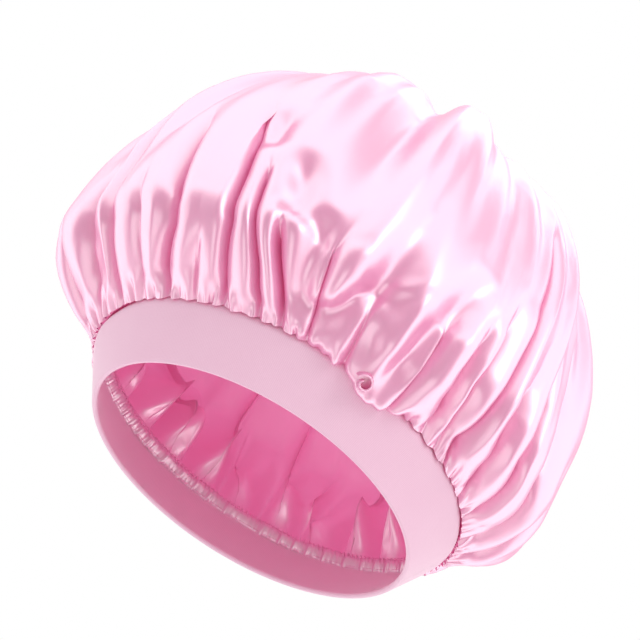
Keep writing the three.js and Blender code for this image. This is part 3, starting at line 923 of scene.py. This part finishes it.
class BONNET_OT_crown(bpy.types.Operator):
    """The satin crown: a disc gathered at the seam, simulated as cloth"""

    bl_idname = "bonnet.crown"
    bl_label = "Crown"

    FOLDED_WAVE, RELAXED_WAVE, DEEPER = 0.8, 1.8, 1.1  # soft folds in each form, and the creases' depth

    def execute(self, context):
        cloth = CrownCloth()
        folded = cloth.cloth(self.FOLDED_WAVE, self.DEEPER)
        piece = new_piece("satin_crown", folded, cloth.faces())
        set_flat_cut(piece, cloth.flat_places()[corners_of(piece)])
        let_cloth_go(piece, cloth.cloth(self.RELAXED_WAVE, self.DEEPER), list(range(cloth.rings[0][1])))
        set_points(piece, folded + cloth_settings().settled * (points_of(piece) - folded))
        bend_at_seam(piece, cloth)
        shade_smooth(piece)
        subdivide(piece)
        scallop_seam(piece, cloth)
        finish_piece(piece, "satin", "crown_cloth")
        turned = [self.turned_edge(), self.curl()]
        return {"FINISHED"}

    EDGE_AROUND = 896
    # The turned edge's section, up from the seam and out from the allowance's inner face, in millimetres.
    EDGE_SECTION = [
        (0.6, 2.3), (3, 2.3), (6, 2.2), (7.2, 1.7), (7.6, 0.8), (7.2, -0.2), (6, -0.7),
        (4.5, -0.8), (3, -0.8), (1.8, -0.7), (0.8, -0.5), (0.2, -0.2),
    ]
    EDGE_INNER = (3, 6)  # rows of the section over which the pleats start
    EDGE_PLEATS, PLEAT_LAP, PLEAT_DEPTH = 54, 0.84, 1.5
    PLEAT_DRIFTS = ((0.35, 5, 0), (0.3, 11, 1))  # shares of a pleat, waves round the edge, their starts
    EDGE_GATHERS, GATHER_DEPTH = (190, 233, 148), 0.35
    HOOK_PLACE, HOOK_HALF, HOOK_DROP = 0.86, 0.07, 1.1  # where each pleat turns down at its lap
    EDGE_UNEVEN = 0.5

    def turned_edge(self):
        """The satin's raw edge, turned over the knit's inside the crown and gathered in small pleats."""
        section = [allowance_point(rise * MM, outward * MM) for rise, outward in self.EDGE_SECTION]
        piece = ring_sheet("satin_turned_edge", section, self.EDGE_AROUND)
        unroll(piece, section, self.EDGE_AROUND)
        turn = turn_of(points_of(piece))
        row = np.arange(len(turn)) // self.EDGE_AROUND
        rises = np.array([rise for rise, _ in self.EDGE_SECTION])
        rise = rises[row] / max(rises)
        inner = smooth_step(row, *self.EDGE_INNER)
        place = turn / (2 * math.pi) * self.EDGE_PLEATS
        for drift, count, start in self.PLEAT_DRIFTS:
            place = place + drift * np.sin(count * turn + start)
        part = place - np.floor(place)
        lap = np.where(part < self.PLEAT_LAP, part / self.PLEAT_LAP, (1 - part) / (1 - self.PLEAT_LAP))
        gathers = sum(np.sin(n * turn + 3 * np.sin(9 * turn + n)) for n in self.EDGE_GATHERS)
        gathers = self.GATHER_DEPTH * gathers / len(self.EDGE_GATHERS)
        inward = inner * (self.PLEAT_DEPTH * lap * np.sqrt(np.maximum(rise, 0)) + gathers)
        hook = np.exp(-(((part - self.HOOK_PLACE) / self.HOOK_HALF) ** 2)) * inner * (1 - rise)
        up = gathers * rise - self.HOOK_DROP * hook + self.EDGE_UNEVEN * rise * np.sin(17 * turn + 2)
        move_points(piece, turn, -inward * MM, up * MM)
        subdivide(piece)
        finish_piece(piece, "satin")
        return piece

    CURL_AZIMUTH = 10.0
    CURL_PLACE = (119.0, 20.5)  # radius and height of its middle, in millimetres
    CURL_TURN = (165, -230)  # degrees, from its foot on the left round the top and in
    CURL_RADIUS, CURL_CLOSING = (5.4, 1.5), 1.3
    CURL_DEPTH, CURL_TAPER, CURL_TWIST = (-4.0, 3.0), 0.2, 1.2
    CURL_THICKNESS = 1.1 * MM
    CURL_STEPS, CURL_ROWS = 40, 6

    def curl(self):
        """A small roll of satin where the edge of the overhang turns under itself."""
        steps, rows = self.CURL_STEPS, self.CURL_ROWS
        part = np.linspace(0, 1, steps)
        angle = np.radians(self.CURL_TURN[0] + (self.CURL_TURN[1] - self.CURL_TURN[0]) * part)
        wide, narrow = self.CURL_RADIUS
        radius = wide + (narrow - wide) * part**self.CURL_CLOSING
        points = []
        for k in range(rows):
            share = k / (rows - 1)
            depth = self.CURL_DEPTH[0] + (self.CURL_DEPTH[1] - self.CURL_DEPTH[0]) * share
            shrink = 1 - self.CURL_TAPER * share**2
            points.append(round_z(radius * shrink, angle, depth - self.CURL_TWIST * part))
        local = np.concatenate(points) * MM
        sine, cosine = band_slope()
        reach = self.CURL_PLACE[0] * MM + local[:, 2] * cosine + local[:, 1] * sine
        height = self.CURL_PLACE[1] * MM - local[:, 2] * sine + local[:, 1] * cosine
        turn = math.radians(self.CURL_AZIMUTH) + local[:, 0] / reach
        starts = [k * steps + i for k in range(rows - 1) for i in range(steps - 1)]
        faces = [(a, a + 1, a + steps + 1, a + steps) for a in starts]
        piece = new_piece("satin_curl", round_z(reach, turn, height), faces)
        set_flat_cut(piece, local[corners_of(piece)][:, :2] / sizes().disc)
        apply_modifier(piece, "SOLIDIFY", thickness=self.CURL_THICKNESS, offset=0)
        subdivide(piece, 2)
        shade_smooth(piece)
        finish_piece(piece, "satin")
        return piece


class BONNET_OT_band(bpy.types.Operator):
    """The band's knit cover: one strip folded lengthwise, its raw edges up inside the crown"""

    bl_idname = "bonnet.band"
    bl_label = "Band cover"

    AROUND = 256
    FOLD_STEPS = 12
    SLOPE_SHARES = (0.15, 0.35, 0.55, 0.75, 0.9, 0.98)  # of the band, where each of its faces has a row
    OUTER_SHARES, INNER_SHARES = (0.55, 0.3, 0.05), (0.05, 0.3, 0.5)  # and of the allowance
    EASES = ((0.25, 7, 1), (0.18, 13, 2.2))  # millimetres, waves round the band and where they start
    EASE_RISE = (0.1, 0.6)

    def execute(self, context):
        size = sizes()
        half = size.knit / 2
        outer_layer = size.knit + size.layer_gap + half
        inside = band_thickness() - half
        section = [allowance_point(size.allowance * part, outer_layer) for part in self.OUTER_SHARES]
        section += [band_point(size.band_width * part, half) for part in reversed(self.SLOPE_SHARES)]
        section += fold_arc(band_thickness() / 2 - half, self.FOLD_STEPS)
        section += [band_point(size.band_width * part, inside) for part in self.SLOPE_SHARES]
        section += [allowance_point(size.allowance * part, half) for part in self.INNER_SHARES]
        piece = ring_sheet("knit_band_cover", section, self.AROUND)
        unroll(piece, section, self.AROUND)
        self.ease(piece)
        apply_modifier(piece, "SOLIDIFY", thickness=size.knit, offset=0)
        subdivide(piece)
        finish_piece(piece, "knit", "band_cover")
        return {"FINISHED"}

    def ease(self, piece):
        """Small unevenness of a sewn band, none at the rim that it stands on."""
        points = points_of(piece)
        turn = turn_of(points)
        pull = sum(deep * MM * np.sin(count * turn + start) for deep, count, start in self.EASES)
        move_points(piece, turn, pull * smooth_step(points[:, 2] / COVER_BOX[1][2], *self.EASE_RISE), 0)


class BONNET_OT_elastic(bpy.types.Operator):
    """The woven elastic inside the band, its ends butted at the nape"""

    bl_idname = "bonnet.elastic"
    bl_label = "Elastic"

    AROUND = 420
    CORDS = 12
    CORD_DEPTH = 0.12 * MM
    EDGE_GAP = 1 * MM
    JOIN_GAP = 3 * MM

    def execute(self, context):
        size = sizes()
        low, high = self.EDGE_GAP, size.band_width - self.EDGE_GAP
        middle = size.knit + size.layer_gap + size.elastic / 2
        section = []
        for row in range(2 * self.CORDS + 1):
            part = row / (2 * self.CORDS)
            section.append(band_point(low + part * (high - low), middle + self.CORD_DEPTH * (-1) ** row))
        piece = ring_sheet("elastic_band", section, self.AROUND)
        for face in piece.data.polygons:
            face.select = face.center.y > 0 and abs(face.center.x) < self.JOIN_GAP / 2
        pick(piece)
        bpy.ops.object.mode_set(mode="EDIT")
        bpy.ops.mesh.select_mode(type="FACE")
        bpy.ops.mesh.delete(type="FACE")
        bpy.ops.object.mode_set(mode="OBJECT")
        apply_modifier(piece, "SOLIDIFY", thickness=size.elastic - 2 * self.CORD_DEPTH, offset=0)
        finish_piece(piece, "elastic", "band_elastic")
        return {"FINISHED"}


# Stitches are modelled once, each with x along its seam, y outwards and z up it.


def one_stitch(points):
    """A length of thread along a path in millimetres, with closed ends, as points and faces."""
    deselect_all()
    bpy.ops.curve.primitive_nurbs_path_add(location=(0, 0, 0))
    curve = bpy.context.object.data
    spline = curve.splines[0]
    spline.points.add(max(len(points) - len(spline.points), 0))
    for point, place in zip(spline.points, points):
        point.co = (*(MM * x for x in place), 1)
    spline.use_endpoint_u = True
    spline.order_u = 3
    spline.resolution_u = 2
    curve.bevel_depth = sizes().thread
    curve.bevel_resolution = 1
    curve.use_fill_caps = True
    bpy.ops.object.convert(target="MESH")
    stitch = bpy.context.object
    made = points_of(stitch), [list(face.vertices) for face in stitch.data.polygons]
    bpy.data.objects.remove(stitch)
    return made


def turned_in(stitch):
    """The same stitch, facing the other way through the cloth."""
    points, faces = stitch
    return points * np.array([1, -1, 1]), [face[::-1] for face in faces]


def sew(name, stitch, places, node):
    """Copies a stitch to every one of its places, as one piece."""
    points, faces = stitch
    copied = np.concatenate([place(points) for place in places])
    joined = [[v + i * len(points) for v in face] for i in range(len(places)) for face in faces]
    piece = new_piece(name, copied, joined)
    shade_smooth(piece)
    finish_piece(piece, "thread", node)


def round_allowance(stitch, rise, outward):
    """Places round the allowance for stitches of a length, up it and out from its inner face."""
    girth = 2 * math.pi * band_point(sizes().band_width, 0)[0]
    count = round(girth / (stitch * MM))

    def place(turn):
        def put(points):
            radius, height = allowance_point(rise * MM + points[:, 2], outward * MM + points[:, 1])
            return round_z(radius, turn + points[:, 0] / radius, height)

        return put

    return [place(2 * math.pi * i / count) for i in range(count)]


def up_nape(count, low, high, inward):
    """Places for stitches up the band's slope at the nape, at a depth in from its outer face."""

    def place(along):
        def put(points):
            radius, height = band_point(along + points[:, 2], inward - points[:, 1])
            return np.stack([points[:, 0], radius, height], 1)

        return put

    return [place(low + (high - low) * (i + 0.5) / count) for i in range(count)]


class BONNET_OT_stitches(bpy.types.Operator):
    """All the bonnet's sewing: its seam, gathers, overlocked edge and joins"""

    bl_idname = "bonnet.stitches"
    bl_label = "Stitches"

    # Length of each kind of stitch, and its place up the allowance and out from its inner face, in
    # millimetres.
    SEAM_STITCH, SEAM_RISE, SEAM_OUT = 2.5, 1.5, -0.9
    GATHER_STITCH, GATHER_RISE, GATHER_OUT = 4.0, 3.6, 2.75
    OVERLOCK_STITCH, OVERLOCK_RISE, OVERLOCK_OUT = 3.0, 7.4, 0
    NAPE_STITCHES, NAPE_WIDTH, NAPE_SLANT = 12, 3.0, 1.2
    # How far from the rim the joins at the nape start, and from the seam each one ends.
    NAPE_START, COVER_JOIN_END, ELASTIC_JOIN_END = 2 * MM, 1 * MM, 2 * MM

    def execute(self, context):
        self.seam()
        self.gathers()
        self.overlock()
        self.band_join()
        self.elastic_join()
        return {"FINISHED"}

    def straight(self, length):
        """A running stitch that dips into the cloth at both ends."""
        half = length / 2
        return one_stitch(
            [(-half, 0.35, 0), (-0.8 * half, -0.1, 0), (0, -0.3, 0), (0.8 * half, -0.1, 0), (half, 0.35, 0)]
        )

    def seam(self):
        """A row of lockstitch just above the seam, on the side that shows inside."""
        places = round_allowance(self.SEAM_STITCH, self.SEAM_RISE, self.SEAM_OUT)
        sew("seam_stitches", self.straight(0.9 * self.SEAM_STITCH), places, "crown_seam_thread")

    def gathers(self):
        """The long running stitch that gathers the satin, on its hidden side."""
        places = round_allowance(self.GATHER_STITCH, self.GATHER_RISE, self.GATHER_OUT)
        stitch = turned_in(self.straight(0.8 * self.GATHER_STITCH))
        sew("gathering_stitches", stitch, places, "gathering_thread")

    def overlock(self):
        """Loops over the raw edge, from one face to the other."""
        half = self.OVERLOCK_STITCH / 2
        stitch = one_stitch([
            (-half, -1.2, -2.2), (-0.6 * half, -1.7, -1), (-0.2 * half, -1.4, 0.4), (0, 0, 0.9),
            (0.3 * half, 1.6, 0.8), (0.7 * half, 2.5, -0.6), (half, 2.6, -2.2),
        ])
        places = round_allowance(self.OVERLOCK_STITCH, self.OVERLOCK_RISE, self.OVERLOCK_OUT)
        sew("overlock_stitches", stitch, places, "overlock_thread")

    def cross(self, rise):
        """A slanted stitch across a join."""
        half = self.NAPE_WIDTH / 2
        return one_stitch([
            (-half, -0.3, -rise / 2), (-0.8 * half, 0.15, -0.4 * rise), (0, 0.25, 0),
            (0.8 * half, 0.15, 0.4 * rise), (half, -0.3, rise / 2),
        ])

    def band_join(self):
        """Up the knit's join at the nape, on the band's inner face."""
        high = sizes().band_width - self.COVER_JOIN_END
        places = up_nape(self.NAPE_STITCHES, self.NAPE_START, high, band_thickness())
        step = (high - self.NAPE_START) / MM / self.NAPE_STITCHES
        sew("band_join_stitches", turned_in(self.cross(step)), places, "band_join_thread")

    def elastic_join(self):
        """Across the gap between the elastic's ends."""
        size = sizes()
        middle = size.knit + size.layer_gap + size.elastic / 2
        high = size.band_width - self.ELASTIC_JOIN_END
        places = up_nape(self.NAPE_STITCHES, self.NAPE_START, high, middle)
        sew("elastic_join_stitches", self.cross(self.NAPE_SLANT), places, "elastic_join_thread")


class BONNET_OT_stage(bpy.types.Operator):
    """Camera, floor, studio lamps and pale surround"""

    bl_idname = "bonnet.stage"
    bl_label = "Stage"

    IMAGE_SIZE = 640
    FOCAL_PIXELS = 2176
    SENSOR = 36
    SEAM_CENTRE_PIXEL = (247.7, 483.8)
    DISTANCE, FARTHEST = 1.128, 20
    ELEVATION = math.radians(-25.9)
    ROLL = math.radians(32.8)
    # Place, size and watts of each lamp.
    LAMPS = {
        "overhead": ((-0.4, 0.2, 1.5), (0.8, 0.8), 4),
        "front": ((1.2, 0.5, 0.6), (0.6, 0.6), 3),
        "below": ((0.6, -0.3, -1.0), (1.0, 1.0), 4),
    }
    LAMP_AIM = (0, 0, 0.1)
    # The parts of the tent that gloss sees: the side that each faces, how near to it the light starts
    # and ends to change, as a cosine, and the light away from there and there.
    TENT = (
        ((0.7, -0.3, -0.65), (0.25, 0.72), (2.6, 0.38)),  # darker below in front
        ((-0.89, 0.1, 0.44), (0.55, 0.97), (1.0, 0.3)),  # softer behind
        ((0.1, 0.2, 0.97), (0.84, 0.98), (1.0, 0.38)),  # a gap straight overhead
    )
    EVEN_LIGHT = ((0.7, -0.3, -0.65), (-0.4, 0.9), (1.25, 0.6))  # for all that isn't gloss
    FLOOR_SIZE, FLOOR_DROP, FLOOR_PALE = 8, 0.4 * MM, (0.9, 0.89, 0.895)

    def execute(self, context):
        self.camera(context)
        for name, (place, size, power) in self.LAMPS.items():
            self.lamp(name, place, size, power)
        self.surround(context)
        self.floor()
        context.scene.view_settings.view_transform = "Standard"
        return {"FINISHED"}

    def camera(self, context):
        deselect_all()
        bpy.ops.object.camera_add()
        camera = context.object
        camera.name = "photo_camera"
        camera.data.sensor_width = self.SENSOR
        camera.data.lens = self.SENSOR * self.FOCAL_PIXELS / self.IMAGE_SIZE
        camera.data.clip_end = self.FARTHEST
        level = Vector((0, 1, 0))
        back = Vector((math.cos(self.ELEVATION), 0, math.sin(self.ELEVATION)))
        upright = back.cross(level)
        right = math.cos(self.ROLL) * level + math.sin(self.ROLL) * upright
        up = -math.sin(self.ROLL) * level + math.cos(self.ROLL) * upright
        straight = Matrix((right, up, back)).transposed()
        aside, below = ((x - self.IMAGE_SIZE / 2) / self.FOCAL_PIXELS for x in self.SEAM_CENTRE_PIXEL)
        turn = Vector((0, 0, -1)).rotation_difference(Vector((aside, -below, -1))).to_matrix()
        aimed = straight @ turn.inverted()
        camera.matrix_world = Matrix.Translation(back * self.DISTANCE) @ aimed.to_4x4()
        context.scene.camera = camera

    def lamp(self, name, place, size, power):
        deselect_all()
        aim = Vector(self.LAMP_AIM) - Vector(place)
        turn = aim.to_track_quat("-Z", "Y").to_euler()
        bpy.ops.object.light_add(type="AREA", location=place, rotation=turn)
        lamp = bpy.context.object
        lamp.name = name + "_lamp"
        lamp.data.shape = "RECTANGLE"
        lamp.data.size, lamp.data.size_y = size
        lamp.data.energy = power

    def surround(self, context):
        """White to the camera. Gloss sees a bright tent with darker parts, and all else an even light."""
        world = bpy.data.worlds.new("surround")
        context.scene.world = world
        world.use_nodes = True
        world.cycles.sampling_method = "NONE"
        shader = Shader(world.node_tree)
        ray = shader.add("ShaderNodeLightPath")
        camera, gloss = ray[0], ray[3]
        direction = shader.add("ShaderNodeTexCoord")[0]
        tent, softer, gap = (self.tent_part(shader, direction, *part) for part in self.TENT)
        even = self.tent_part(shader, direction, *self.EVEN_LIGHT)
        strength = tent * softer * gap * gloss + even * (1 - gloss)
        light = shader.add("ShaderNodeBackground", {}, {"Color": (1, 1, 1), "Strength": strength})[0]
        seen = shader.add("ShaderNodeBackground", {}, {"Color": (1, 1, 1), "Strength": 1.0})[0]
        both = shader.surface_mix(camera, light, seen)
        shader.add("ShaderNodeOutputWorld", {}, {"Surface": both})

    def tent_part(self, shader, direction, side, reach, light):
        """Light that changes smoothly from one strength to another towards a side."""
        towards = shader.add("ShaderNodeVectorMath", {"operation": "DOT_PRODUCT"}, {0: direction, 1: side})[1]
        ends = {"From Min": reach[0], "From Max": reach[1], "To Min": light[0], "To Max": light[1]}
        settings = {"interpolation_type": "SMOOTHSTEP"}
        return shader.add("ShaderNodeMapRange", settings, {"Value": towards, **ends})[0]

    def floor(self):
        """A pale floor that is clear from below, so that it hides nothing of the standing bonnet."""
        deselect_all()
        bpy.ops.mesh.primitive_plane_add(size=self.FLOOR_SIZE, location=(0, 0, -self.FLOOR_DROP))
        floor = bpy.context.object
        floor.name = "studio_floor"
        floor.data.materials.append(new_material("pale_floor", self.floor_surface))
        floor.visible_diffuse = floor.visible_glossy = False
        floor.visible_transmission = floor.visible_shadow = False

    def floor_surface(self, shader):
        mottle = shader.noise(shader.on_piece(), 3.0, detail=3.0)
        colour = shader.colour_mix(mottle, colours().floor, self.FLOOR_PALE)
        paint = shader.principled(Base_Color=colour, Roughness=0.7)
        clear = shader.add("ShaderNodeBsdfTransparent")[0]
        from_below = shader.add("ShaderNodeNewGeometry")[6]
        return shader.surface_mix(from_below, paint, clear)


class BONNET_PT_panel(bpy.types.Panel):
    """The bonnet's sizes, colours and pieces"""

    bl_idname = "BONNET_PT_panel"
    bl_label = "Satin bonnet"
    bl_space_type = "VIEW_3D"
    bl_region_type = "UI"
    bl_category = "Bonnet"

    def draw(self, context):
        scene = context.scene
        for group in (scene.bonnet_sizes, scene.bonnet_cloth, scene.bonnet_colours):
            box = self.layout.box()
            for name in group.bl_rna.properties.keys():
                if name not in ("rna_type", "name"):
                    box.prop(group, name)
        for operator in OPERATORS:
            self.layout.operator(operator.bl_idname)


OPERATORS = (
    BONNET_OT_stage,
    BONNET_OT_crown,
    BONNET_OT_band,
    BONNET_OT_elastic,
    BONNET_OT_stitches,
)
CLASSES = (BonnetSizes, BonnetCloth, BonnetColours, *OPERATORS, BONNET_PT_panel)


def register():
    for cls in CLASSES:
        bpy.utils.register_class(cls)
    bpy.types.Scene.bonnet_sizes = bpy.props.PointerProperty(type=BonnetSizes)
    bpy.types.Scene.bonnet_cloth = bpy.props.PointerProperty(type=BonnetCloth)
    bpy.types.Scene.bonnet_colours = bpy.props.PointerProperty(type=BonnetColours)


def unregister():
    del bpy.types.Scene.bonnet_colours
    del bpy.types.Scene.bonnet_cloth
    del bpy.types.Scene.bonnet_sizes
    for cls in reversed(CLASSES):
        bpy.utils.unregister_class(cls)


def main():
    register()
    bpy.ops.bonnet.stage()
    bpy.ops.bonnet.crown()
    bpy.ops.bonnet.band()
    bpy.ops.bonnet.elastic()
    bpy.ops.bonnet.stitches()
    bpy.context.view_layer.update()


if __name__ == "__main__":
    main()
